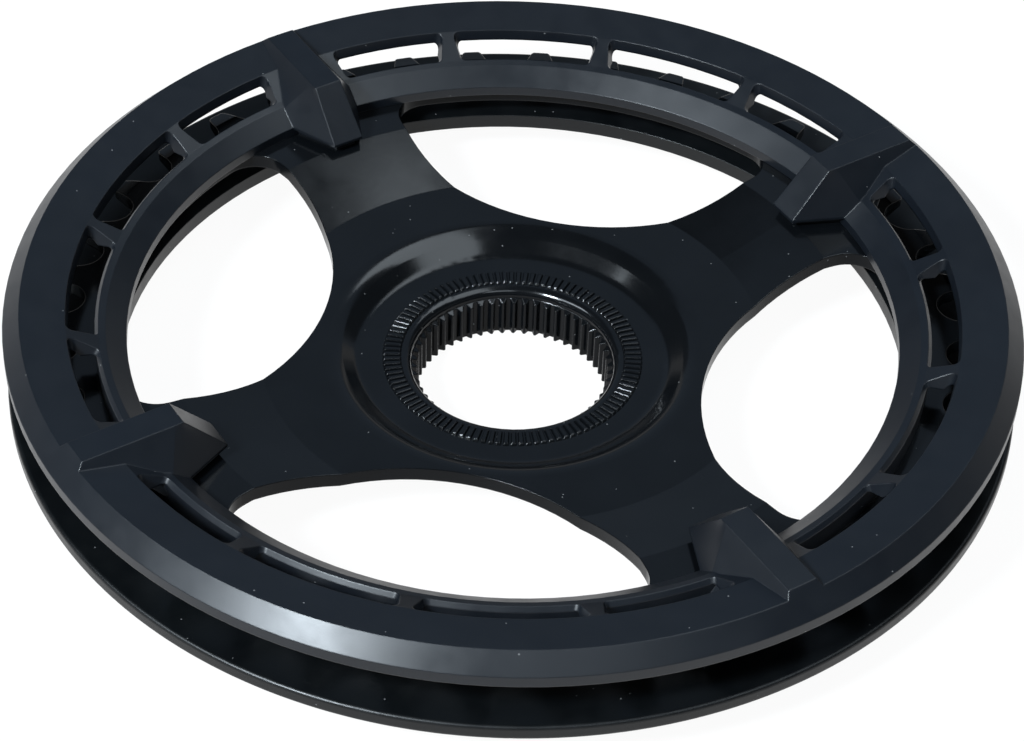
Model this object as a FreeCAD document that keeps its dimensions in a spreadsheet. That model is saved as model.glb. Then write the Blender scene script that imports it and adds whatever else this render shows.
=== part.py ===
import FreeCAD, Part
import os
from math import asin, cos, pi, radians, sin

import Sketcher

# A bicycle chainring: one stamped steel ring with a splined collar, between two plastic chain guards.
# Millimetres. The axis is Z, the collar's end is at z = 0 and the crank side is up.
# Every piece is drawn with an arm along X, and its placement turns the arms onto the diagonals.

SIZES = [
    ("arm_turn", 45, "turn of the arms from X, degrees"),
    ("arm_count", 4, "arms, clips and screws"),
    ("tooth_count", 38, "teeth of the ring"),
    ("tooth_shift", 2.7, "turn of the first tooth from the arm, degrees"),
    ("chain_pitch", 12.7, "pitch of the chain"),
    ("roller_seat", 4.0, "radius of the seat between two teeth"),
    ("tooth_height", 2.1, "tooth tip above the pitch circle"),
    ("flank_angle", 20, "lean of a tooth's flank, degrees"),
    ("tooth_round", 1.3, "rounding of a tooth's tip"),
    ("tooth_bevel", 0.5, "bevel of a tooth's tip on each face"),
    ("tooth_bevel_run", 3.0, "length of that bevel along the tooth"),
    ("plate", 2.5, "thickness of the steel"),
    ("rim_level", 15.9, "upper face of the toothed rim"),
    ("hub_level", 12.3, "upper face of the hub disc"),
    ("seat_level", 9.1, "lockring seat above the collar's end"),
    ("rim_inner_radius", 66.5, "outer edge of the windows"),
    ("dish_outer_radius", 57.5, "bend from the rim into the sloping arm"),
    ("dish_inner_radius", 43.0, "bend from the sloping arm into the hub disc"),
    ("bowl_outer_radius", 30.6, "bend from the hub disc into the bowl"),
    ("bowl_inner_radius", 26.3, "foot of the bowl's wall"),
    ("bowl_round", 6.0, "rounding of the bend into the bowl"),
    ("bowl_foot", 2.0, "rounding of the foot of the bowl's wall"),
    ("window_radius", 39.5, "radius of a window's inner edge"),
    ("window_offset", 72.6, "centre of that edge from the axis"),
    ("window_corner", 6.0, "corner radius of a window"),
    ("spline_count", 54, "splines in the collar"),
    ("bore_radius", 16.3, "collar's bore over the spline tips"),
    ("spline_depth", 0.8, "depth of a spline groove"),
    ("spline_floor", 0.7, "width of a spline groove at its floor"),
    ("spline_mouth", 1.2, "width of a spline groove at its mouth"),
    ("spline_top", 7.4, "upper end of the splines above the collar's end"),
    ("spline_lead", 0.5, "bevel at the splines' upper ends"),
    ("entry_step", 0.15, "smooth entry's radius beyond the grooves"),
    ("collar_wall", 2.4, "collar's wall behind the grooves"),
    ("entry_round", 1.5, "rounding of the bore's upper edge"),
    ("collar_fillet", 1.5, "fillet between seat and collar, below"),
    ("guard_radius", 85.0, "outer radius of both guards"),
    ("lip_bottom", 19.96, "lower edge of the outer guard's lip"),
    ("lip_top", 22.0, "upper edge of the outer guard's lip"),
    ("crest_radius", 82.1, "upper edge of the outer bevel"),
    ("crest_level", 24.85, "height of the crest"),
    ("slot_outer_radius", 74.6, "slots, outer edge"),
    ("slot_outer_level", 23.55, "guard's face at the slots' outer edge"),
    ("slot_inner_radius", 69.35, "slots, inner edge"),
    ("slot_inner_level", 20.7, "guard's face at the slots' inner edge"),
    ("land_radius", 68.2, "inner edge of the inner ring's land"),
    ("land_level", 20.3, "height of that edge"),
    ("guard_bore_radius", 64.85, "inner radius of the outer guard"),
    ("guard_bore_level", 17.65, "upper edge of that bore"),
    ("channel_inner_radius", 70.0, "channel under the outer guard, inner wall"),
    ("channel_outer_radius", 82.6, "channel under the outer guard, outer wall"),
    ("web", 1.6, "wall of the outer guard over the channel, outside the slots"),
    ("inner_web", 3.4, "drop from the slots' inner edge to the channel's top at its inner wall"),
    ("slot_count", 16, "slots of the outer guard"),
    ("spoke_width", 1.7, "spoke between two slots, at its top"),
    ("slot_corner", 1.4, "corner radius of a slot at its top"),
    ("slot_low_corner", 0.8, "corner radius of a slot at its bottom"),
    ("slot_outer_draft", 10, "lean of a slot's outer wall, in degrees"),
    ("slot_inner_draft", 40, "lean of a slot's inner wall, in degrees"),
    ("slot_end_draft", 20, "lean of a slot's ends, in degrees"),
    ("slot_depth", 2.5, "lower end of the slots' tools below the slots' inner edge"),
    ("clip_clear", 5.2, "angle from a clip's middle to the next slot, in degrees"),
    ("clip_level", 25.85, "top of a clip block"),
    ("clip_half_width", 2.55, "half the width of a clip's top"),
    ("clip_inner_x", 63.3, "inner end of a clip's top"),
    ("clip_fold_x", 64.8, "where a clip's side folds, at its top"),
    ("clip_toe_level", 17.8, "foot of a clip's sloping faces"),
    ("clip_toe_x", 56.0, "inner end of a clip at its foot"),
    ("clip_toe_half_width", 2.85, "half the width of that end"),
    ("clip_heel_x", 68.7, "where a clip's side folds, at its foot"),
    ("clip_heel_half_width", 8.4, "half the width of a clip at its foot"),
    ("clip_lip", 0.5, "upright edge at a clip's foot"),
    ("clip_undercut", 1.0, "inset of a clip's base below that edge"),
    ("clip_inset", 1.0, "outer end of a clip before its bevel, from the guard's edge"),
    ("bevel_skin", 0.05, "skin taken off the outer bevel together with the clips' ends"),
    ("disc_width", 18.1, "width of the inner guard's ring"),
    ("disc_bore_level", 6.9, "lower edge of that hole"),
    ("disc_wall", 2.7, "thickness of the inner guard"),
    ("disc_rim_level", 8.2, "lower edge of the inner guard's rim"),
    ("disc_rim_round", 0.6, "rounding of that rim"),
    ("ear_half_width", 5.5, "half the width of an ear of the inner guard"),
    ("ear_root", 2.0, "how far an ear runs into the inner guard's ring"),
    ("boss_radius", 3.6, "boss on an ear, up to the steel"),
    ("screw_circle", 62.5, "radius of the screws' circle"),
    ("screw_radius", 1.25, "screw's shank"),
    ("screw_gap", 0.15, "play round the shank in the inner guard and the steel"),
    ("thread_gap", 0.02, "play round the shank in the clip block"),
    ("screw_bite", 6.0, "screw's length in the clip block"),
    ("tip_room", 1.0, "room beyond the screw's tip"),
    ("head_radius", 2.4, "screw's head"),
    ("head_height", 1.5, "height of that head"),
    ("overcut", 2.0, "how far a cutting tool passes the faces it cuts"),
]

ARM_AXIS = FreeCAD.Vector(0, 0, 1)
PITCH_RADIUS = "sizes.chain_pitch / (2 * sin(180 deg / sizes.tooth_count))"
TIP_RADIUS = PITCH_RADIUS + " + sizes.tooth_height"
NEAR = 0.01

doc = FreeCAD.newDocument("chainring")
sheet = doc.addObject("Spreadsheet::Sheet", "sizes")
for row, (alias, value, note) in enumerate(SIZES, start=1):
    sheet.set("A%d" % row, note)
    sheet.set("B%d" % row, str(value))
    sheet.setAlias("B%d" % row, alias)
doc.recompute()


def origin_feature(body, role):
    """The body's own plane or axis with that role."""
    for feature in body.Origin.OriginFeatures:
        if feature.Role == role:
            return feature


def new_body(name):
    """An empty sub-part whose arms are turned onto the diagonals."""
    body = doc.addObject("PartDesign::Body", name)
    body.Label = name
    body.Placement = FreeCAD.Placement(FreeCAD.Vector(), FreeCAD.Rotation(ARM_AXIS, sheet.arm_turn))
    body.setExpression("Placement.Rotation.Angle", "sizes.arm_turn")
    return body


def new_sketch(body, name, role, level=None, turn=None):
    """A sketch on one of the body's planes, raised to a level and turned about the axis."""
    sketch = body.newObject("Sketcher::SketchObject", name)
    sketch.AttachmentSupport = (origin_feature(body, role), [""])
    sketch.MapMode = "FlatFace"
    sketch.AttachmentOffset = FreeCAD.Placement(FreeCAD.Vector(), FreeCAD.Rotation(ARM_AXIS, 1))
    sketch.setExpression("AttachmentOffset.Rotation.Angle", turn or "0")
    sketch.setExpression("AttachmentOffset.Base.z", level or "0")
    return sketch


def number(sketch, formula):
    """The value that a formula of sizes has now."""
    return float(sketch.evalExpression(formula))


def hold(sketch, constraint, formula):
    """Adds a constraint whose value follows a formula."""
    index = sketch.addConstraint(constraint)
    sketch.setExpression("Constraints[%d]" % index, formula)


def pin(sketch, geometry, point, x, y):
    """Holds a point at two formulas from the origin."""
    for kind, formula in (("DistanceX", x), ("DistanceY", y)):
        value = number(sketch, formula)
        hold(sketch, Sketcher.Constraint(kind, -1, 1, geometry, point, value), formula)


def join(sketch, kind, first, last):
    """Joins the end of one edge to the start of the next."""
    sketch.addConstraint(Sketcher.Constraint(kind, first[0], first[1], last[0], last[1]))


def outline(sketch, corners):
    """A closed run of straight edges through corners given as pairs of formulas."""
    places = [FreeCAD.Vector(number(sketch, x), number(sketch, y), 0) for x, y in corners]
    for start, end in zip(places, places[1:] + places[:1]):
        sketch.addGeometry(Part.LineSegment(start, end))
    for edge, (x, y) in enumerate(corners):
        join(sketch, "Coincident", (edge, 2), ((edge + 1) % len(corners), 1))
        pin(sketch, edge, 1, x, y)


def arc(centre, radius, start, end):
    """A circular arc, anticlockwise between two points."""
    circle = Part.Circle(centre, FreeCAD.Vector(0, 0, 1), radius)
    return Part.ArcOfCircle(circle, circle.parameter(start), circle.parameter(end))


def turned(body, kind, name, corners):
    """A revolved feature about the axis: corners are radius and height."""
    sketch = new_sketch(body, name + "_profile", "XZ_Plane")
    outline(sketch, corners)
    feature = body.newObject("PartDesign::" + kind, name)
    feature.Profile = sketch
    feature.ReferenceAxis = (sketch, ["V_Axis"])
    feature.Angle = 360
    doc.recompute()
    return feature


def sunk(body, name, sketch, depth=None, upward=True):
    """A pocket from a sketch, upward through everything or to a depth."""
    feature = body.newObject("PartDesign::Pocket", name)
    feature.Profile = sketch
    feature.Reversed = upward
    if depth:
        feature.Type = "Length"
        feature.setExpression("Length", depth)
    else:
        feature.Type = "ThroughAll"
    return feature


def raised(body, name, sketch, length, downward=False):
    """A pad from a sketch."""
    feature = body.newObject("PartDesign::Pad", name)
    feature.Profile = sketch
    feature.Reversed = downward
    feature.setExpression("Length", length)
    return feature


def around(body, name, features, count):
    """Repeats features evenly about the axis."""
    pattern = body.newObject("PartDesign::PolarPattern", name)
    pattern.Originals = features
    pattern.Axis = (origin_feature(body, "Z_Axis"), [""])
    pattern.Angle = 360
    pattern.setExpression("Occurrences", count)
    body.Tip = pattern
    doc.recompute()
    return pattern


def round_rings(body, name, feature, rings, radius):
    """Fillets the circular edges that lie at the given radii and heights."""
    names = []
    for index, edge in enumerate(feature.Shape.Edges, start=1):
        for ring_radius, ring_level in rings:
            point = edge.Vertexes[0].Point
            wide = abs(FreeCAD.Vector(point.x, point.y, 0).Length - number(sheet, ring_radius)) < NEAR
            high = abs(point.z - number(sheet, ring_level)) < NEAR
            if wide and high and len(edge.Vertexes) == 1:
                names.append("Edge%d" % index)
    fillet = body.newObject("PartDesign::Fillet", name)
    fillet.Base = (feature, names)
    fillet.setExpression("Radius", radius)
    doc.recompute()
    return fillet


def hole_circle(body, name, radius, level=None):
    """A sketch with one circle on the screws' circle."""
    sketch = new_sketch(body, name, "XY_Plane", level)
    centre = FreeCAD.Vector(number(sketch, "sizes.screw_circle"), 0, 0)
    sketch.addGeometry(Part.Circle(centre, FreeCAD.Vector(0, 0, 1), number(sketch, radius)))
    pin(sketch, 0, 3, "sizes.screw_circle", "0")
    hold(sketch, Sketcher.Constraint("Radius", 0, number(sketch, radius)), radius)
    return sketch


# Chainring: the plate's section turned about the axis, then teeth, windows, splines and screw holes.

def tooth_gap(body):
    """The space between two teeth: a roller seat, leaning flanks and rounded tips, open past the tips."""
    sketch = new_sketch(body, "gap_outline", "XY_Plane", turn="180 / sizes.tooth_count - sizes.tooth_shift")
    lean = "sizes.flank_angle * 1 deg"
    both = "(sizes.roller_seat + sizes.tooth_round)"
    run = "(sizes.tooth_height - sizes.tooth_round + %s * sin(%s)) / cos(%s)" % (both, lean, lean)
    tip_middle = "%s - sizes.tooth_round" % TIP_RADIUS
    tip_side = "%s * cos(%s) + %s * sin(%s)" % (both, lean, run, lean)
    reach = TIP_RADIUS + " + sizes.tooth_height"
    seat = number(sketch, "sizes.roller_seat")
    tip = number(sketch, "sizes.tooth_round")
    side = number(sketch, tip_side)
    far = number(sketch, reach)
    seat_centre = FreeCAD.Vector(number(sketch, PITCH_RADIUS), 0, 0)
    upper_centre = FreeCAD.Vector(number(sketch, tip_middle), side, 0)
    lower_centre = FreeCAD.Vector(number(sketch, tip_middle), -side, 0)
    upper_way = FreeCAD.Vector(-number(sketch, "sin(%s)" % lean), number(sketch, "cos(%s)" % lean), 0)
    lower_way = FreeCAD.Vector(upper_way.x, -upper_way.y, 0)
    upper_root = seat_centre + upper_way * seat
    lower_root = seat_centre + lower_way * seat
    upper_bend = upper_centre - upper_way * tip
    lower_bend = lower_centre - lower_way * tip
    upper_mouth = upper_centre + FreeCAD.Vector(tip, 0, 0)
    lower_mouth = lower_centre + FreeCAD.Vector(tip, 0, 0)
    upper_end = FreeCAD.Vector(far, side, 0)
    lower_end = FreeCAD.Vector(far, -side, 0)
    sketch.addGeometry(arc(seat_centre, seat, upper_root, lower_root))
    sketch.addGeometry(Part.LineSegment(lower_root, lower_bend))
    sketch.addGeometry(arc(lower_centre, tip, lower_mouth, lower_bend))
    sketch.addGeometry(Part.LineSegment(lower_mouth, lower_end))
    sketch.addGeometry(Part.LineSegment(lower_end, upper_end))
    sketch.addGeometry(Part.LineSegment(upper_end, upper_mouth))
    sketch.addGeometry(arc(upper_centre, tip, upper_bend, upper_mouth))
    sketch.addGeometry(Part.LineSegment(upper_bend, upper_root))
    join(sketch, "Tangent", (0, 2), (1, 1))
    join(sketch, "Tangent", (1, 2), (2, 2))
    join(sketch, "Coincident", (2, 1), (3, 1))
    join(sketch, "Coincident", (3, 2), (4, 1))
    join(sketch, "Coincident", (4, 2), (5, 1))
    join(sketch, "Coincident", (5, 2), (6, 2))
    join(sketch, "Tangent", (6, 1), (7, 1))
    join(sketch, "Tangent", (7, 2), (0, 1))
    pin(sketch, 0, 3, PITCH_RADIUS, "0")
    pin(sketch, 2, 3, tip_middle, "-(%s)" % tip_side)
    pin(sketch, 6, 3, tip_middle, tip_side)
    hold(sketch, Sketcher.Constraint("Radius", 0, seat), "sizes.roller_seat")
    hold(sketch, Sketcher.Constraint("Radius", 2, tip), "sizes.tooth_round")
    hold(sketch, Sketcher.Constraint("Radius", 6, tip), "sizes.tooth_round")
    pin(sketch, 3, 2, reach, "-(%s)" % tip_side)
    pin(sketch, 4, 2, reach, tip_side)
    for mouth in (3, 5):
        sketch.addConstraint(Sketcher.Constraint("Horizontal", mouth))
    return sketch


def window(body):
    """One window: the rim's inner arc, the hub's hollow arc and two corner arcs."""
    sketch = new_sketch(body, "window_outline", "XY_Plane", turn="180 / sizes.arm_count")
    rim = number(sketch, "sizes.rim_inner_radius")
    hollow = number(sketch, "sizes.window_radius")
    offset = number(sketch, "sizes.window_offset")
    corner = number(sketch, "sizes.window_corner")
    along = ((rim - corner) ** 2 - (hollow - corner) ** 2 + offset ** 2) / (2 * offset)
    across = ((rim - corner) ** 2 - along ** 2) ** 0.5
    origin = FreeCAD.Vector()
    hub = FreeCAD.Vector(offset, 0, 0)
    upper = FreeCAD.Vector(along, across, 0)
    lower = FreeCAD.Vector(along, -across, 0)
    upper_rim = upper * (rim / upper.Length)
    lower_rim = lower * (rim / lower.Length)
    upper_hub = hub + (upper - hub) * (hollow / (upper - hub).Length)
    lower_hub = hub + (lower - hub) * (hollow / (lower - hub).Length)
    sketch.addGeometry(arc(origin, rim, lower_rim, upper_rim))
    sketch.addGeometry(arc(upper, corner, upper_rim, upper_hub))
    sketch.addGeometry(arc(hub, hollow, upper_hub, lower_hub))
    sketch.addGeometry(arc(lower, corner, lower_hub, lower_rim))
    for edge in range(4):
        join(sketch, "Tangent", (edge, 2), ((edge + 1) % 4, 1))
    pin(sketch, 0, 3, "0", "0")
    pin(sketch, 2, 3, "sizes.window_offset", "0")
    hold(sketch, Sketcher.Constraint("Radius", 0, rim), "sizes.rim_inner_radius")
    hold(sketch, Sketcher.Constraint("Radius", 1, corner), "sizes.window_corner")
    hold(sketch, Sketcher.Constraint("Radius", 2, hollow), "sizes.window_radius")
    hold(sketch, Sketcher.Constraint("Radius", 3, corner), "sizes.window_corner")
    return sketch


def spline_groove(body):
    """One groove of the splined bore."""
    sketch = new_sketch(body, "spline_outline", "XY_Plane")
    mouth = "sizes.bore_radius - sizes.spline_depth"
    floor = "sizes.bore_radius + sizes.spline_depth"
    outline(sketch, [
        (mouth, "-sizes.spline_mouth"),
        (floor, "-sizes.spline_floor / 2"),
        (floor, "sizes.spline_floor / 2"),
        (mouth, "sizes.spline_mouth"),
    ])
    return sketch


def make_chainring():
    body = new_body("chainring")
    dish = "sizes.plate * tan(atan((sizes.rim_level - sizes.hub_level)"
    dish += " / (sizes.dish_outer_radius - sizes.dish_inner_radius)) / 2)"
    bowl = "sizes.plate * tan(atan((sizes.hub_level - sizes.seat_level)"
    bowl += " / (sizes.bowl_outer_radius - sizes.bowl_inner_radius)) / 2)"
    bevel_start = TIP_RADIUS + " - sizes.tooth_bevel_run"
    mouth = "sizes.bore_radius + sizes.spline_depth + sizes.entry_step"
    collar = "sizes.bore_radius + sizes.spline_depth + sizes.collar_wall"
    plate = turned(body, "Revolution", "plate", [
        (TIP_RADIUS, "sizes.rim_level - sizes.tooth_bevel"),
        (bevel_start, "sizes.rim_level"),
        ("sizes.dish_outer_radius", "sizes.rim_level"),
        ("sizes.dish_inner_radius", "sizes.hub_level"),
        ("sizes.bowl_outer_radius", "sizes.hub_level"),
        ("sizes.bowl_inner_radius", "sizes.seat_level"),
        (mouth, "sizes.seat_level"),
        (mouth, "sizes.spline_top"),
        ("sizes.bore_radius", "sizes.spline_top - sizes.spline_lead"),
        ("sizes.bore_radius", "0"),
        (collar, "0"),
        (collar, "sizes.seat_level - sizes.plate"),
        ("sizes.bowl_inner_radius + " + bowl, "sizes.seat_level - sizes.plate"),
        ("sizes.bowl_outer_radius + " + bowl, "sizes.hub_level - sizes.plate"),
        ("sizes.dish_inner_radius + " + dish, "sizes.hub_level - sizes.plate"),
        ("sizes.dish_outer_radius + " + dish, "sizes.rim_level - sizes.plate"),
        (bevel_start, "sizes.rim_level - sizes.plate"),
        (TIP_RADIUS, "sizes.rim_level - sizes.plate + sizes.tooth_bevel"),
    ])
    shoulder = round_rings(body, "bowl_shoulder", plate, [
        ("sizes.bowl_outer_radius", "sizes.hub_level"),
        ("sizes.bowl_outer_radius + " + bowl, "sizes.hub_level - sizes.plate"),
    ], "sizes.bowl_round")
    foot = round_rings(body, "bowl_foot", shoulder, [
        ("sizes.bowl_inner_radius", "sizes.seat_level"),
        ("sizes.bowl_inner_radius + " + bowl, "sizes.seat_level - sizes.plate"),
    ], "sizes.bowl_foot")
    entry = round_rings(body, "bore_entry", foot, [
        (mouth, "sizes.seat_level"),
    ], "sizes.entry_round")
    round_rings(body, "collar_root", entry, [
        (collar, "sizes.seat_level - sizes.plate"),
    ], "sizes.collar_fillet")
    around(body, "teeth", [sunk(body, "gap", tooth_gap(body))], "sizes.tooth_count")
    around(body, "windows", [sunk(body, "window", window(body))], "sizes.arm_count")
    around(body, "splines", [sunk(body, "spline", spline_groove(body))], "sizes.spline_count")
    holes = hole_circle(body, "screw_hole", "sizes.screw_radius + sizes.screw_gap")
    around(body, "screw_holes", [sunk(body, "hole", holes)], "sizes.arm_count")
    return body


# Outer guard: a turned ring with a channel below, drafted slots and four clip blocks.

def slot_outline(body, name, level, turn, half, corner_size):
    """A slot's outline at one height: two arcs about the axis, two radial ends and rounded corners."""
    sketch = new_sketch(body, name, "XY_Plane", level, turn)
    above_outer = "((%s) - sizes.slot_outer_level)" % level
    above_inner = "((%s) - sizes.slot_inner_level)" % level
    outer = "sizes.slot_outer_radius + %s * tan(sizes.slot_outer_draft * 1 deg)" % above_outer
    inner = "sizes.slot_inner_radius - %s * tan(sizes.slot_inner_draft * 1 deg)" % above_inner
    spread = "%s * tan(sizes.slot_end_draft * 1 deg) / sizes.slot_outer_radius * 180 / pi" % above_outer
    swing_angle = "(%s + %s) * 1 deg" % (half, spread)
    far = number(sketch, outer)
    near = number(sketch, inner)
    corner = number(sketch, corner_size)
    swing = radians(number(sketch, "%s + %s" % (half, spread)))
    centres = []
    for distance in (far - corner, near + corner):
        for side in (1, -1):
            lean = side * (swing - asin(corner / distance))
            centres.append(FreeCAD.Vector(distance * cos(lean), distance * sin(lean), 0))
    far_upper, far_lower, near_upper, near_lower = centres
    origin = FreeCAD.Vector()
    upper_side = FreeCAD.Vector(-sin(swing), cos(swing), 0) * corner
    lower_side = FreeCAD.Vector(-sin(swing), -cos(swing), 0) * corner
    far_ends = [centre * (far / centre.Length) for centre in (far_lower, far_upper)]
    near_ends = [centre * (near / centre.Length) for centre in (near_lower, near_upper)]
    sketch.addGeometry(arc(origin, far, far_ends[0], far_ends[1]))
    sketch.addGeometry(arc(far_upper, corner, far_ends[1], far_upper + upper_side))
    sketch.addGeometry(Part.LineSegment(far_upper + upper_side, near_upper + upper_side))
    sketch.addGeometry(arc(near_upper, corner, near_upper + upper_side, near_ends[1]))
    sketch.addGeometry(arc(origin, near, near_ends[0], near_ends[1]))
    sketch.addGeometry(arc(near_lower, corner, near_ends[0], near_lower + lower_side))
    sketch.addGeometry(Part.LineSegment(near_lower + lower_side, far_lower + lower_side))
    sketch.addGeometry(arc(far_lower, corner, far_lower + lower_side, far_ends[0]))
    for first, last in (((0, 2), (1, 1)), ((1, 2), (2, 1)), ((2, 2), (3, 1)), ((3, 2), (4, 2)),
                        ((4, 1), (5, 1)), ((5, 2), (6, 1)), ((6, 2), (7, 1)), ((7, 2), (0, 1))):
        join(sketch, "Tangent", first, last)
    pin(sketch, 0, 3, "0", "0")
    pin(sketch, 4, 3, "0", "0")
    hold(sketch, Sketcher.Constraint("Radius", 0, far), outer)
    hold(sketch, Sketcher.Constraint("Radius", 4, near), inner)
    for corner_arc in (1, 3, 5, 7):
        hold(sketch, Sketcher.Constraint("Radius", corner_arc, corner), corner_size)
    for end in (2, 6):
        sketch.addConstraint(Sketcher.Constraint("PointOnObject", -1, 1, end))
    hold(sketch, Sketcher.Constraint("Angle", 2, swing - pi), swing_angle + " - 180 deg")
    hold(sketch, Sketcher.Constraint("Angle", 6, -swing), "-" + swing_angle)
    return sketch


def slot(body, index, turn, half):
    """One slot through the outer guard, narrowing downward."""
    top = slot_outline(body, "slot_top_%d" % index, "sizes.slot_outer_level + sizes.overcut",
                       turn, half, "sizes.slot_corner")
    bottom = slot_outline(body, "slot_bottom_%d" % index, "sizes.slot_inner_level - sizes.slot_depth",
                          turn, half, "sizes.slot_low_corner")
    cut = body.newObject("PartDesign::SubtractiveLoft", "slot_%d" % index)
    cut.Profile = top
    cut.Sections = [bottom]
    cut.Ruled = True
    doc.recompute()
    return cut


def slots_of_one_quarter(body):
    """The slots between two clips: the outer two stop short of the clips."""
    step = "360 / sizes.slot_count"
    spoke = "asin(sizes.spoke_width / 2 / sizes.slot_outer_radius) / 1 deg"
    end_half = "(%s - %s - sizes.clip_clear) / 2" % (step, spoke)
    end_turn = "(%s - %s + sizes.clip_clear) / 2" % (step, spoke)
    count = int(sheet.slot_count / sheet.arm_count)
    cuts = [slot(body, 1, end_turn, end_half)]
    for index in range(2, count):
        middle = "%s * %.1f" % (step, index - 0.5)
        cuts.append(slot(body, index, middle, "%s / 2 - %s" % (step, spoke)))
    cuts.append(slot(body, count, "360 / sizes.arm_count - " + end_turn, end_half))
    return cuts


def clip_section(body, name, level, corners):
    """A clip block's outline at one height: half of it is given, the other half mirrors it."""
    sketch = new_sketch(body, name, "XY_Plane", level)
    mirrored = [(x, "-(%s)" % y) for x, y in reversed(corners)]
    outline(sketch, corners + mirrored)
    return sketch


def make_outer_guard():
    body = new_body("outer_guard")
    turned(body, "Revolution", "ring", [
        ("sizes.guard_bore_radius", "sizes.rim_level"),
        ("sizes.guard_bore_radius", "sizes.guard_bore_level"),
        ("sizes.land_radius", "sizes.land_level"),
        ("sizes.slot_inner_radius", "sizes.slot_inner_level"),
        ("sizes.slot_outer_radius", "sizes.slot_outer_level"),
        ("sizes.crest_radius", "sizes.crest_level"),
        ("sizes.guard_radius", "sizes.lip_top"),
        ("sizes.guard_radius", "sizes.lip_bottom"),
        ("sizes.channel_inner_radius", "sizes.lip_bottom"),
        ("sizes.channel_inner_radius", "sizes.rim_level"),
    ])
    clip_end = "sizes.guard_radius - sizes.clip_inset"
    top = clip_section(body, "clip_top", "sizes.clip_level", [
        ("sizes.clip_inner_x", "sizes.clip_half_width"),
        ("sizes.clip_fold_x", "sizes.clip_half_width"),
        (clip_end, "sizes.clip_half_width"),
    ])
    foot = clip_section(body, "clip_foot", "sizes.clip_toe_level", [
        ("sizes.clip_toe_x", "sizes.clip_toe_half_width"),
        ("sizes.clip_heel_x", "sizes.clip_heel_half_width"),
        (clip_end, "sizes.clip_heel_half_width"),
    ])
    block = body.newObject("PartDesign::AdditiveLoft", "clip")
    block.Profile = foot
    block.Sections = [top]
    block.Ruled = True
    doc.recompute()
    lip = raised(body, "clip_lip", foot, "sizes.clip_lip", True)
    seat = clip_section(body, "clip_seat", "sizes.rim_level", [
        ("sizes.clip_toe_x + sizes.clip_undercut", "sizes.clip_toe_half_width - sizes.clip_undercut"),
        ("sizes.clip_heel_x", "sizes.clip_heel_half_width - sizes.clip_undercut"),
        (clip_end, "sizes.clip_heel_half_width - sizes.clip_undercut"),
    ])
    base = raised(body, "clip_base", seat, "sizes.clip_toe_level - sizes.rim_level")
    around(body, "clips", [block, lip, base], "sizes.arm_count")
    slope = "(sizes.guard_radius - sizes.crest_radius) / (sizes.crest_level - sizes.lip_top)"
    above = "sizes.clip_level + sizes.overcut"
    below = "sizes.rim_level - sizes.overcut"
    outside = "sizes.guard_radius + sizes.overcut"
    rise = "(%s - sizes.lip_top + sizes.bevel_skin)" % above
    turned(body, "Groove", "outer_bevel", [
        ("sizes.guard_radius", "sizes.lip_top - sizes.bevel_skin"),
        ("sizes.guard_radius - %s * %s" % (rise, slope), above),
        (outside, above),
        (outside, "sizes.lip_top - sizes.bevel_skin"),
    ])
    turned(body, "Groove", "channel", [
        ("sizes.channel_inner_radius", below),
        ("sizes.channel_inner_radius", "sizes.slot_inner_level - sizes.inner_web"),
        ("sizes.slot_outer_radius", "sizes.slot_outer_level - sizes.web"),
        ("sizes.channel_outer_radius", "sizes.slot_outer_level - sizes.web"),
        ("sizes.channel_outer_radius", "sizes.lip_bottom"),
        (outside, "sizes.lip_bottom"),
        (outside, below),
    ])
    around(body, "slots", slots_of_one_quarter(body), "sizes.arm_count")
    hole = hole_circle(body, "screw_hole", "sizes.screw_radius + sizes.thread_gap", "sizes.rim_level")
    bored = sunk(body, "hole", hole, "sizes.screw_bite + sizes.tip_room")
    around(body, "screw_holes", [bored], "sizes.arm_count")
    return body


# Inner guard: a thin turned disc with four ears that carry bosses up to the steel.

def ear(body):
    """An ear under an arm: a round end about the screw and straight sides into the disc."""
    sketch = new_sketch(body, "ear_outline", "XY_Plane", "sizes.disc_bore_level")
    centre = FreeCAD.Vector(number(sketch, "sizes.screw_circle"), 0, 0)
    half = number(sketch, "sizes.ear_half_width")
    reach = "sizes.guard_radius - sizes.disc_width + sizes.ear_root"
    root = number(sketch, reach)
    upper = centre + FreeCAD.Vector(0, half, 0)
    lower = centre - FreeCAD.Vector(0, half, 0)
    upper_root = FreeCAD.Vector(root, half, 0)
    lower_root = FreeCAD.Vector(root, -half, 0)
    sketch.addGeometry(arc(centre, half, upper, lower))
    sketch.addGeometry(Part.LineSegment(lower, lower_root))
    sketch.addGeometry(Part.LineSegment(lower_root, upper_root))
    sketch.addGeometry(Part.LineSegment(upper_root, upper))
    join(sketch, "Tangent", (0, 2), (1, 1))
    join(sketch, "Coincident", (1, 2), (2, 1))
    join(sketch, "Coincident", (2, 2), (3, 1))
    join(sketch, "Tangent", (3, 2), (0, 1))
    pin(sketch, 0, 3, "sizes.screw_circle", "0")
    hold(sketch, Sketcher.Constraint("Radius", 0, half), "sizes.ear_half_width")
    pin(sketch, 1, 2, reach, "-sizes.ear_half_width")
    pin(sketch, 2, 2, reach, "sizes.ear_half_width")
    return sketch


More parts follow.
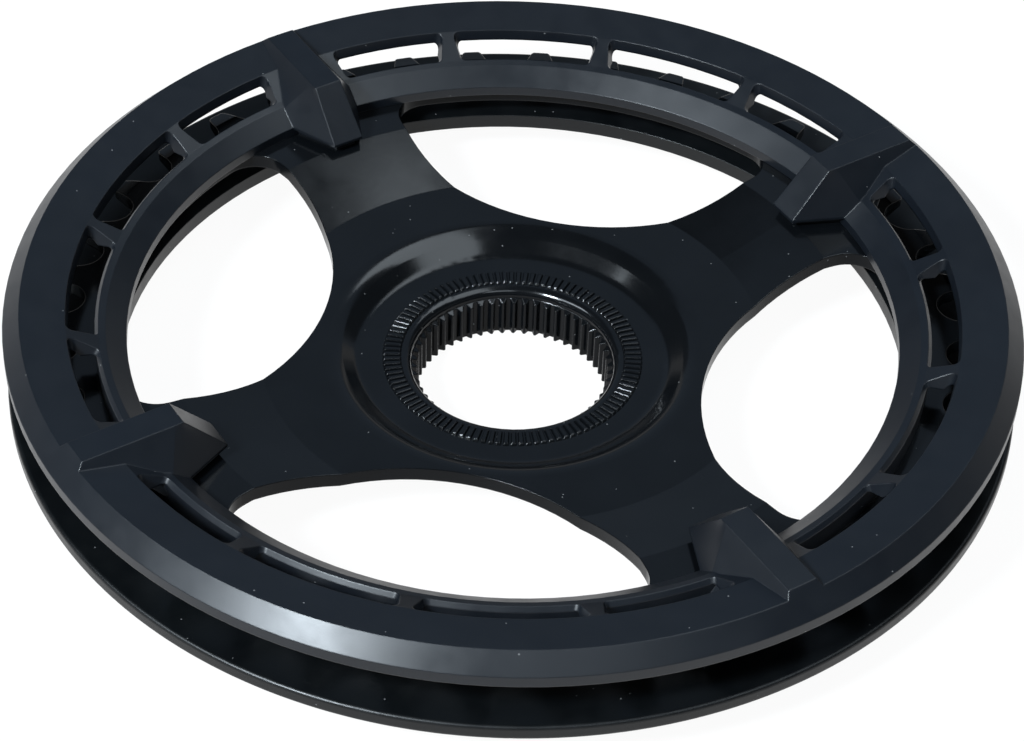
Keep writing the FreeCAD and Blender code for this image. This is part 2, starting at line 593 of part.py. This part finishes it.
def make_inner_guard():
    body = new_body("inner_guard")
    disc = turned(body, "Revolution", "disc", [
        ("sizes.guard_radius - sizes.disc_width", "sizes.disc_bore_level"),
        ("sizes.guard_radius", "sizes.disc_rim_level"),
        ("sizes.guard_radius", "sizes.disc_rim_level + sizes.disc_wall"),
        ("sizes.guard_radius - sizes.disc_width", "sizes.disc_bore_level + sizes.disc_wall"),
    ])
    round_rings(body, "rim_rounding", disc, [
        ("sizes.guard_radius", "sizes.disc_rim_level"),
        ("sizes.guard_radius", "sizes.disc_rim_level + sizes.disc_wall"),
    ], "sizes.disc_rim_round")
    tab = raised(body, "ear", ear(body), "sizes.disc_wall")
    post = hole_circle(body, "boss_outline", "sizes.boss_radius", "sizes.disc_bore_level")
    boss = raised(body, "boss", post, "sizes.rim_level - sizes.plate - sizes.disc_bore_level")
    around(body, "ears", [tab, boss], "sizes.arm_count")
    hole = hole_circle(body, "screw_hole", "sizes.screw_radius + sizes.screw_gap")
    around(body, "screw_holes", [sunk(body, "hole", hole)], "sizes.arm_count")
    return body


# Guard screws: pan heads below the ears, shanks up into the clip blocks.

def make_screws():
    screws = []
    for index in range(int(sheet.arm_count)):
        shank = doc.addObject("Part::Cylinder", "shank_%d" % (index + 1))
        shank.setExpression("Radius", "sizes.screw_radius")
        grip = "sizes.rim_level - sizes.disc_bore_level"
        shank.setExpression("Height", "sizes.head_height + %s + sizes.screw_bite" % grip)
        head = doc.addObject("Part::Cylinder", "head_%d" % (index + 1))
        head.setExpression("Radius", "sizes.head_radius")
        head.setExpression("Height", "sizes.head_height")
        screw = doc.addObject("Part::Fuse", "screw_%d" % (index + 1))
        screw.Base = shank
        screw.Tool = head
        turn = "(sizes.arm_turn + %d * 360 / sizes.arm_count) * 1 deg" % index
        screw.setExpression("Placement.Base.x", "sizes.screw_circle * cos(%s)" % turn)
        screw.setExpression("Placement.Base.y", "sizes.screw_circle * sin(%s)" % turn)
        screw.setExpression("Placement.Base.z", "sizes.disc_bore_level - sizes.head_height")
        screws.append(screw)
    group = doc.addObject("Part::Compound", "guard_screws")
    group.Label = "guard_screws"
    group.Links = screws
    return group


subparts = [make_chainring(), make_outer_guard(), make_inner_guard(), make_screws()]
doc.recompute()

for item in doc.Objects:
    if "Invalid" in item.State or "Error" in item.State:
        raise RuntimeError("%s failed: %s" % (item.Name, item.State))
for subpart in subparts:
    if subpart.Shape.isNull() or not subpart.Shape.isValid():
        raise RuntimeError("%s has no valid shape" % subpart.Label)

os.makedirs("parts", exist_ok=True)
for subpart in subparts:
    subpart.Shape.exportStep("parts/%s.step" % subpart.Label)
    box = subpart.Shape.BoundBox
    print(subpart.Label, len(subpart.Shape.Solids), round(subpart.Shape.Volume, 1), box)
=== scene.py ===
from math import cos, pi, radians, sin, tan

import bmesh
import bpy
from mathutils import Matrix, Vector


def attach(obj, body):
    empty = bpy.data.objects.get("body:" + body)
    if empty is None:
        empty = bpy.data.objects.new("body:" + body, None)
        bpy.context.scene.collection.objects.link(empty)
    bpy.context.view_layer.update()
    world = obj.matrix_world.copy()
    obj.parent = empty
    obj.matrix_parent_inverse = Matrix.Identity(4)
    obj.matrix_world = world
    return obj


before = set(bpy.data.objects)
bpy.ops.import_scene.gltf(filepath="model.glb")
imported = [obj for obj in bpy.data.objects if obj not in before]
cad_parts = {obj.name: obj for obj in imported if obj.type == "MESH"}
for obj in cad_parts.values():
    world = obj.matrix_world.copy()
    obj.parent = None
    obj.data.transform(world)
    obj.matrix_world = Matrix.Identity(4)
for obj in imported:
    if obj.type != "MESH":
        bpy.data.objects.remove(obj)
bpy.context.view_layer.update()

# Lengths are in metres, unless a line says otherwise.
MM = 0.001

# The photograph's view, taken about the middle of the outer guard's lip. Lens and sensor are in millimetres.
CAMERA_AZIMUTH = radians(11.48)
CAMERA_ELEVATION = radians(40.74)
CAMERA_DISTANCE = 0.5017
CAMERA_ROLL = radians(2.09)
CAMERA_PITCH = radians(-1.37)
CAMERA_LENS = 105.26
CAMERA_SENSOR = 36
CAMERA_NEAR = 0.01
CAMERA_FAR = 100
LOOK_AT = Vector((0, 0, 0.022))

# Lamps: azimuth from the camera to its right and elevation, both in degrees; distance, width and height;
# power in watts; tint.
LAMP_TINT = (0.82, 0.92, 1.0)
BACK_TINT = (0.55, 0.74, 1.0)
LAMPS = [
    ("key_light", 102, 66, 1.1, 1.15, 0.5, 6.2, LAMP_TINT),
    ("back_light", 174, 35, 1.3, 1.8, 0.9, 1.2, BACK_TINT),
    ("bright_light", -43, 43, 1.2, 0.22, 0.22, 34, LAMP_TINT),
    ("left_light", -74, 44, 1.2, 0.5, 0.25, 4.5, LAMP_TINT),
    ("front_light", 18, 47, 1.2, 0.5, 0.22, 1.8, LAMP_TINT),
]
WORLD_STRENGTH = 0.06

# The floor with its wall: radius and height of each ring. Its tone falls between two radii, to a share.
FLOOR_RINGS = [(6.0, 0.0), (6.5, 0.1), (6.6, 0.5), (6.6, 1.6)]
FLOOR_SIDES = 96
FLOOR_FALLS = [(0.14, 0.5, 0.5), (1.6, 5.0, 0.75)]
FLOOR_GLOW = 0.95

# The rounded foot of the bowl round the lockring seat.
BOWL_FOOT_RADIUS = 26.4 * MM
BOWL_FOOT_REACH = 1.3 * MM

# Ridges on the lockring seat; the shares are half widths, as parts of the step from ridge to ridge.
SEAT_LEVEL = 9.1 * MM
RIDGE_COUNT = 108
RIDGE_INNER = 18.9 * MM
RIDGE_OUTER = 22.2 * MM
RIDGE_HEIGHT = 0.4 * MM
RIDGE_FOOT = 0.05 * MM
RIDGE_RUN = 0.35 * MM
RIDGE_FOOT_SHARE = 0.42
RIDGE_CREST_SHARE = 0.24

# Radius over which a material softens edges, and the samples it takes for that.
EDGE_ROUND = 0.3 * MM
FOOT_ROUND = 0.9 * MM
SCREW_ROUND = 0.2 * MM
EDGE_SAMPLES = 6

# Dust, as a colour and as the size of a grain in its cell, and the depth of a material's relief.
PLASTIC_DUST = (0.09, 0.09, 0.09)
STEEL_DUST = (0.08, 0.08, 0.08)
DUST_SIZE = 0.13
GRAIN_DEPTH = 0.06 * MM
SCREW_DEPTH = 0.03 * MM


def new_material(name):
    """A material with its shader and the coordinates of the part itself."""
    material = bpy.data.materials.new(name)
    material.use_nodes = True
    nodes = material.node_tree.nodes
    place = nodes.new("ShaderNodeTexCoord")
    return material, nodes["Principled BSDF"], place.outputs["Object"]


def calculate(material, operation, *values):
    """One step of arithmetic on numbers and sockets."""
    node = material.node_tree.nodes.new("ShaderNodeMath")
    node.operation = operation
    for socket, value in zip(node.inputs, values):
        if isinstance(value, float):
            socket.default_value = value
        else:
            material.node_tree.links.new(value, socket)
    return node.outputs[0]


def length_of(material, coordinates):
    """How far a point is from the origin of its coordinates."""
    node = material.node_tree.nodes.new("ShaderNodeVectorMath")
    node.operation = "LENGTH"
    material.node_tree.links.new(coordinates, node.inputs[0])
    return node.outputs["Value"]


def noise(material, coordinates, scale, detail):
    """A cloudy value over the part, with the number of waves per metre."""
    node = material.node_tree.nodes.new("ShaderNodeTexNoise")
    node.inputs["Scale"].default_value = scale
    node.inputs["Detail"].default_value = detail
    material.node_tree.links.new(coordinates, node.inputs["Vector"])
    return node.outputs["Fac"]


def spread(material, value, low, high, from_low=0.3, from_high=0.7):
    """Stretches a value over a range; what it comes from is the usual range of a noise, unless stated."""
    node = material.node_tree.nodes.new("ShaderNodeMapRange")
    node.inputs["From Min"].default_value = from_low
    node.inputs["From Max"].default_value = from_high
    node.inputs["To Min"].default_value = low
    node.inputs["To Max"].default_value = high
    material.node_tree.links.new(value, node.inputs["Value"])
    return node.outputs["Result"]


def blend(material, factor, first, second):
    """A colour between two others, each a triple or a socket."""
    node = material.node_tree.nodes.new("ShaderNodeMix")
    node.data_type = "RGBA"
    links = material.node_tree.links
    links.new(factor, node.inputs["Factor"])
    for socket, colour in ((node.inputs[6], first), (node.inputs[7], second)):
        if isinstance(colour, tuple):
            socket.default_value = (*colour, 1.0)
        else:
            links.new(colour, socket)
    return node.outputs[2]


def specks(material, coordinates, cells, size, share):
    """Small round grains of dust: one cell in many holds one."""
    tree = material.node_tree
    cell = tree.nodes.new("ShaderNodeTexVoronoi")
    cell.inputs["Scale"].default_value = cells
    tree.links.new(coordinates, cell.inputs["Vector"])
    chosen = tree.nodes.new("ShaderNodeSeparateColor")
    tree.links.new(cell.outputs["Color"], chosen.inputs["Color"])
    near = calculate(material, "LESS_THAN", cell.outputs["Distance"], size)
    rare = calculate(material, "LESS_THAN", chosen.outputs["Red"], share)
    return calculate(material, "MULTIPLY", near, rare)


def facing_up(material):
    """How far the surface faces along the part's axis: 0 for an upright face, 1 for a level one."""
    tree = material.node_tree
    place = tree.nodes.new("ShaderNodeTexCoord")
    parts = tree.nodes.new("ShaderNodeSeparateXYZ")
    tree.links.new(place.outputs["Normal"], parts.inputs["Vector"])
    return calculate(material, "ABSOLUTE", parts.outputs["Z"])


def within_band(material, coordinates, radius, reach):
    """1 in a band about the part's axis, 0 elsewhere."""
    flat = material.node_tree.nodes.new("ShaderNodeVectorMath")
    flat.operation = "MULTIPLY"
    flat.inputs[1].default_value = (1.0, 1.0, 0.0)
    material.node_tree.links.new(coordinates, flat.inputs[0])
    return calculate(material, "COMPARE", length_of(material, flat.outputs["Vector"]), radius, reach)


def relief(material, shader, height, strength, depth, edge):
    """Raises the surface by a value, over edges softened by a small radius, which is a number or a socket."""
    tree = material.node_tree
    soft = tree.nodes.new("ShaderNodeBevel")
    soft.samples = EDGE_SAMPLES
    if isinstance(edge, float):
        soft.inputs["Radius"].default_value = edge
    else:
        tree.links.new(edge, soft.inputs["Radius"])
    bump = tree.nodes.new("ShaderNodeBump")
    bump.inputs["Strength"].default_value = strength
    bump.inputs["Distance"].default_value = depth
    tree.links.new(height, bump.inputs["Height"])
    tree.links.new(soft.outputs["Normal"], bump.inputs["Normal"])
    tree.links.new(bump.outputs["Normal"], shader.inputs["Normal"])


def moulded_plastic(name, dark, light, smooth, rough, grain, dust, mirror):
    """Satin black plastic with the fine grain of its mould and a little dust."""
    material, shader, place = new_material(name)
    links = material.node_tree.links
    clouds = spread(material, noise(material, place, scale=60, detail=3), 0, 1)
    tint = blend(material, clouds, dark, light)
    grains = specks(material, place, cells=900, size=DUST_SIZE, share=dust)
    links.new(blend(material, grains, tint, PLASTIC_DUST), shader.inputs["Base Color"])
    gloss = spread(material, noise(material, place, scale=240, detail=3), smooth, rough)
    links.new(gloss, shader.inputs["Roughness"])
    shader.inputs["Specular IOR Level"].default_value = mirror
    pores = noise(material, place, scale=4200, detail=2)
    relief(material, shader, pores, strength=grain, depth=GRAIN_DEPTH, edge=EDGE_ROUND)
    return material


def coated_steel(name, dark, light, smooth, rough, dust, mirror, cut_mirror):
    """Black gloss coating on steel: a soft orange-peel, clouds in its gloss and dust; duller on cut edges."""
    material, shader, place = new_material(name)
    links = material.node_tree.links
    clouds = spread(material, noise(material, place, scale=90, detail=4), 0, 1)
    tint = blend(material, clouds, dark, light)
    grains = specks(material, place, cells=1000, size=DUST_SIZE, share=dust)
    links.new(blend(material, grains, tint, STEEL_DUST), shader.inputs["Base Color"])
    gloss = spread(material, noise(material, place, scale=150, detail=4), smooth, rough)
    links.new(gloss, shader.inputs["Roughness"])
    level = spread(material, facing_up(material), cut_mirror, mirror, from_low=0.1, from_high=0.5)
    links.new(level, shader.inputs["Specular IOR Level"])
    foot = within_band(material, place, BOWL_FOOT_RADIUS, BOWL_FOOT_REACH)
    edge = spread(material, foot, EDGE_ROUND, FOOT_ROUND, from_low=0, from_high=1)
    peel = noise(material, place, scale=900, detail=2)
    relief(material, shader, peel, strength=0.05, depth=GRAIN_DEPTH, edge=edge)
    return material


def plated_steel(name):
    """Dark plated screws with faint marks."""
    material, shader, place = new_material(name)
    links = material.node_tree.links
    clouds = spread(material, noise(material, place, scale=700, detail=4), 0, 1)
    links.new(blend(material, clouds, (0.2, 0.2, 0.21), (0.34, 0.33, 0.32)), shader.inputs["Base Color"])
    gloss = spread(material, noise(material, place, scale=1500, detail=2), 0.25, 0.45)
    links.new(gloss, shader.inputs["Roughness"])
    shader.inputs["Metallic"].default_value = 1.0
    marks = noise(material, place, scale=3000, detail=2)
    relief(material, shader, marks, strength=0.1, depth=SCREW_DEPTH, edge=SCREW_ROUND)
    return material


def pale_surface(name, falls, glow):
    """Matt white whose tone falls off outwards; it shows nearly its own colour, with the shadow kept."""
    material = bpy.data.materials.new(name)
    material.use_nodes = True
    tree = material.node_tree
    tree.nodes.remove(tree.nodes["Principled BSDF"])
    place = tree.nodes.new("ShaderNodeTexCoord")
    away = length_of(material, place.outputs["Object"])
    tone = 1.0
    for start, end, share in falls:
        fall = tree.nodes.new("ShaderNodeMapRange")
        fall.interpolation_type = "SMOOTHSTEP"
        fall.inputs["From Min"].default_value = start
        fall.inputs["From Max"].default_value = end
        fall.inputs["To Min"].default_value = 1.0
        fall.inputs["To Max"].default_value = share
        tree.links.new(away, fall.inputs["Value"])
        tone = calculate(material, "MULTIPLY", fall.outputs["Result"], tone)
    rays = tree.nodes.new("ShaderNodeLightPath")
    seen = rays.outputs["Is Camera Ray"]
    for other in ("Is Glossy Ray", "Is Transmission Ray"):
        seen = calculate(material, "MAXIMUM", seen, rays.outputs[other])
    matt = tree.nodes.new("ShaderNodeBsdfDiffuse")
    tree.links.new(tone, matt.inputs["Color"])
    white = tree.nodes.new("ShaderNodeEmission")
    white.inputs["Strength"].default_value = 1.0
    tree.links.new(tone, white.inputs["Color"])
    mix = tree.nodes.new("ShaderNodeMixShader")
    tree.links.new(calculate(material, "MULTIPLY", seen, glow), mix.inputs["Fac"])
    tree.links.new(matt.outputs[0], mix.inputs[1])
    tree.links.new(white.outputs[0], mix.inputs[2])
    tree.links.new(mix.outputs[0], tree.nodes["Material Output"].inputs["Surface"])
    return material


def dress(piece, material):
    """Gives a piece one material."""
    piece.data.materials.clear()
    piece.data.materials.append(material)


def place_shape(name, shape):
    """Puts a finished shape into the scene as a piece."""
    mesh = bpy.data.meshes.new(name)
    shape.to_mesh(mesh)
    shape.free()
    piece = bpy.data.objects.new(name, mesh)
    bpy.context.scene.collection.objects.link(piece)
    return piece


def seat_ridges():
    """The ring of fine radial ridges on the lockring seat."""
    shape = bmesh.new()
    step = 2 * pi / RIDGE_COUNT
    low = SEAT_LEVEL - RIDGE_FOOT
    high = SEAT_LEVEL + RIDGE_HEIGHT
    sections = [(RIDGE_INNER, low, RIDGE_FOOT_SHARE), (RIDGE_INNER + RIDGE_RUN, high, RIDGE_CREST_SHARE),
                (RIDGE_OUTER - RIDGE_RUN, high, RIDGE_CREST_SHARE), (RIDGE_OUTER, low, RIDGE_FOOT_SHARE)]
    for index in range(RIDGE_COUNT):
        pairs = []
        for radius, level, share in sections:
            angles = ((index - share) * step, (index + share) * step)
            points = [(radius * cos(angle), radius * sin(angle), level) for angle in angles]
            pairs.append([shape.verts.new(point) for point in points])
        inner_foot, inner_crest, outer_crest, outer_foot = pairs
        shape.faces.new((inner_crest[0], outer_crest[0], outer_crest[1], inner_crest[1]))
        shape.faces.new((inner_foot[0], inner_crest[0], inner_crest[1], inner_foot[1]))
        shape.faces.new((outer_crest[0], outer_foot[0], outer_foot[1], outer_crest[1]))
        shape.faces.new((inner_foot[0], outer_foot[0], outer_crest[0], inner_crest[0]))
        shape.faces.new((inner_crest[1], outer_crest[1], outer_foot[1], inner_foot[1]))
        shape.faces.new((inner_foot[1], outer_foot[1], outer_foot[0], inner_foot[0]))
    bmesh.ops.recalc_face_normals(shape, faces=shape.faces)
    return place_shape("seat_ridges", shape)


def floor_with_wall():
    """The floor, a disc about the part's axis that turns up into a low wall far away."""
    shape = bmesh.new()
    turns = [2 * pi * side / FLOOR_SIDES for side in range(FLOOR_SIDES)]
    loops = []
    for radius, level in FLOOR_RINGS:
        points = [(radius * cos(turn), radius * sin(turn), level) for turn in turns]
        loops.append([shape.verts.new(point) for point in points])
    shape.faces.new(loops[0])
    for lower, upper in zip(loops, loops[1:]):
        for side in range(FLOOR_SIDES):
            shape.faces.new((lower[side], lower[side - 1], upper[side - 1], upper[side]))
    piece = place_shape("floor", shape)
    return piece


def softbox(name, azimuth, elevation, distance, width, height, power, colour):
    """A rectangular lamp aimed at the part; the azimuth is counted from the camera, to its right."""
    lamp = bpy.data.lights.new(name, "AREA")
    lamp.shape = "RECTANGLE"
    lamp.size = width
    lamp.size_y = height
    lamp.energy = power
    lamp.color = colour
    turn = CAMERA_AZIMUTH + radians(azimuth)
    rise = radians(elevation)
    back = Vector((sin(turn) * cos(rise), -cos(turn) * cos(rise), sin(rise)))
    item = bpy.data.objects.new(name, lamp)
    item.location = LOOK_AT + back * distance
    item.rotation_mode = "QUATERNION"
    item.rotation_quaternion = (-back).to_track_quat("-Z", "Y")
    bpy.context.scene.collection.objects.link(item)


def studio_world():
    """Dim even light from all round."""
    world = bpy.data.worlds.new("studio")
    world.use_nodes = True
    background = world.node_tree.nodes["Background"]
    background.inputs["Color"].default_value = (*LAMP_TINT, 1.0)
    background.inputs["Strength"].default_value = WORLD_STRENGTH
    bpy.context.scene.world = world


def photo_camera():
    """The camera of the photograph."""
    turn = Matrix.Rotation(CAMERA_AZIMUTH, 3, "Z")
    ahead = turn @ Vector((0, cos(CAMERA_ELEVATION), -sin(CAMERA_ELEVATION)))
    right = turn @ Vector((1, 0, 0))
    place = LOOK_AT - ahead * CAMERA_DISTANCE
    aim = (ahead + tan(CAMERA_PITCH) * right.cross(ahead)).normalized()
    level = aim.cross(Vector((0, 0, 1))).normalized()
    above = level.cross(aim)
    side = cos(CAMERA_ROLL) * level + sin(CAMERA_ROLL) * above
    top = cos(CAMERA_ROLL) * above - sin(CAMERA_ROLL) * level
    lens = bpy.data.cameras.new("photo_camera")
    lens.sensor_width = CAMERA_SENSOR
    lens.lens = CAMERA_LENS
    lens.clip_start = CAMERA_NEAR
    lens.clip_end = CAMERA_FAR
    item = bpy.data.objects.new("photo_camera", lens)
    item.matrix_world = Matrix.Translation(place) @ Matrix((side, top, -aim)).transposed().to_4x4()
    bpy.context.scene.collection.objects.link(item)
    bpy.context.scene.camera = item


steel = coated_steel("coated_steel", dark=(0.0013, 0.0016, 0.002), light=(0.002, 0.0024, 0.003),
                     smooth=0.12, rough=0.18, dust=0.03, mirror=0.4, cut_mirror=0.12)
outer = moulded_plastic("outer_plastic", dark=(0.0027, 0.0038, 0.0057), light=(0.0036, 0.005, 0.0073),
                        smooth=0.32, rough=0.38, grain=0.06, dust=0.015, mirror=0.33)
inner = moulded_plastic("inner_plastic", dark=(0.0012, 0.0016, 0.002), light=(0.0018, 0.0024, 0.0028),
                        smooth=0.3, rough=0.4, grain=0.1, dust=0.06, mirror=0.3)
dress(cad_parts["chainring"], steel)
dress(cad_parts["outer_guard"], outer)
dress(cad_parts["inner_guard"], inner)
dress(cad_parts["guard_screws"], plated_steel("plated_steel"))

ridges = seat_ridges()
dress(ridges, steel)
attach(ridges, "root")

dress(floor_with_wall(), pale_surface("pale_floor", FLOOR_FALLS, FLOOR_GLOW))
studio_world()
for lamp in LAMPS:
    softbox(*lamp)
photo_camera()
bpy.context.scene.view_settings.view_transform = "Standard"
